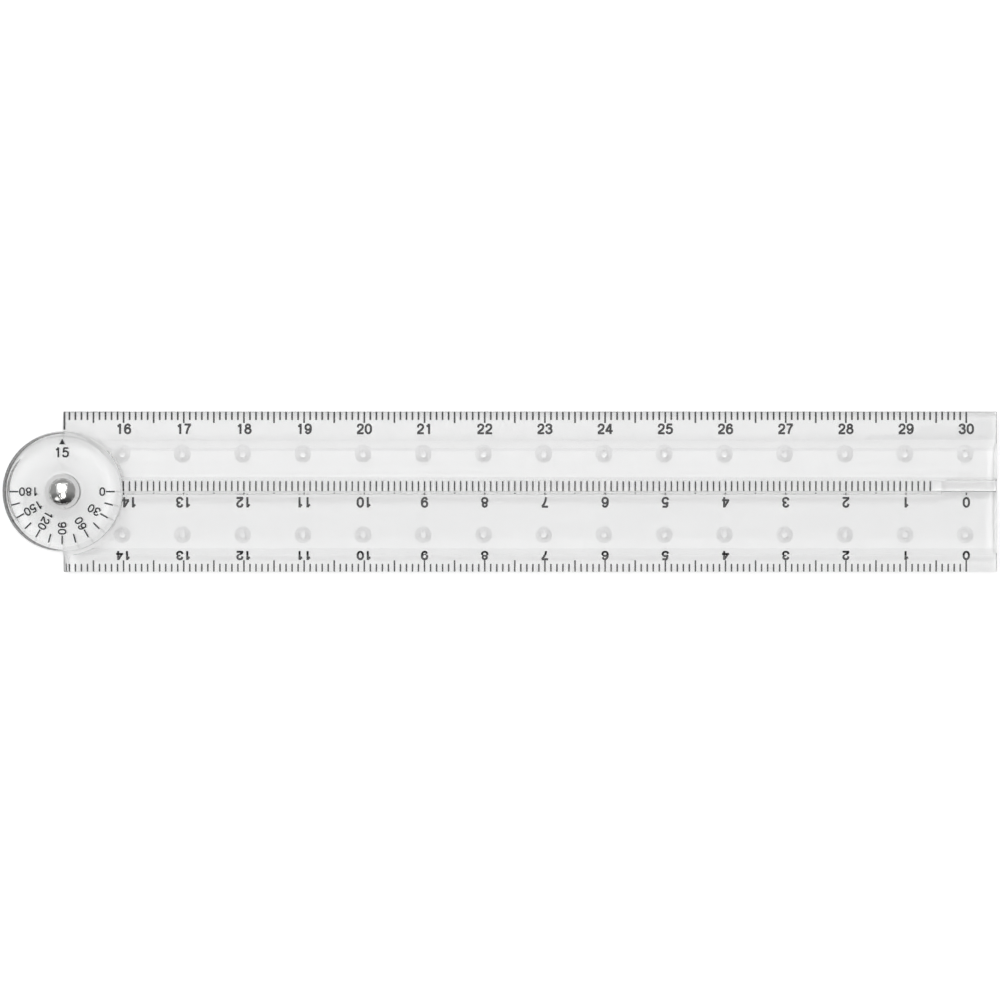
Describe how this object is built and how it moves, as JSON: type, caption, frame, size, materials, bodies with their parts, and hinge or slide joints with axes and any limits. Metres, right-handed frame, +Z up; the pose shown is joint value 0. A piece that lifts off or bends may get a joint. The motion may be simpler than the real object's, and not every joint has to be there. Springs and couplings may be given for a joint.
{
  "type": "adjustable set square",
  "caption": "Clear folding set square: two ruler arms turn on a riveted angle dial, folding side by side or opening to a straight long ruler.",
  "frame": {"origin": "centre of the folded set square's bounding box, on the plane that it lies on", "axes": "+X from the hinge to the arms' free ends, +Y from the swing arm to the scale arm, +Z up through the dial and the rivet's head"},
  "size_m": [0.165, 0.0266, 0.005],
  "materials": {
    "clear_acrylic": "water-clear, polished as moulded",
    "clear_nylon": "clear, slightly milky",
    "bright_nickel": "mirror polished",
    "spring_steel": "satin",
    "scale_ink": "matt printed ink"
  },
  "bodies": {
    "scale_side": {"scale_arm": "clear_acrylic", "pivot_rivet": "bright_nickel", "front_washer": "clear_nylon", "friction_washer": "clear_nylon", "spring_washer": "spring_steel", "back_washer": "spring_steel"},
    "swing_side": {"swing_arm": "clear_acrylic"}
  },
  "joints": [
    {"name": "arm_swing", "type": "hinge", "parent": "scale_side", "child": "swing_side", "pos_m": [-0.0725, 0, 0.0008], "axis": [0, 0, -1], "range_deg": [0, 180]}
  ]
}
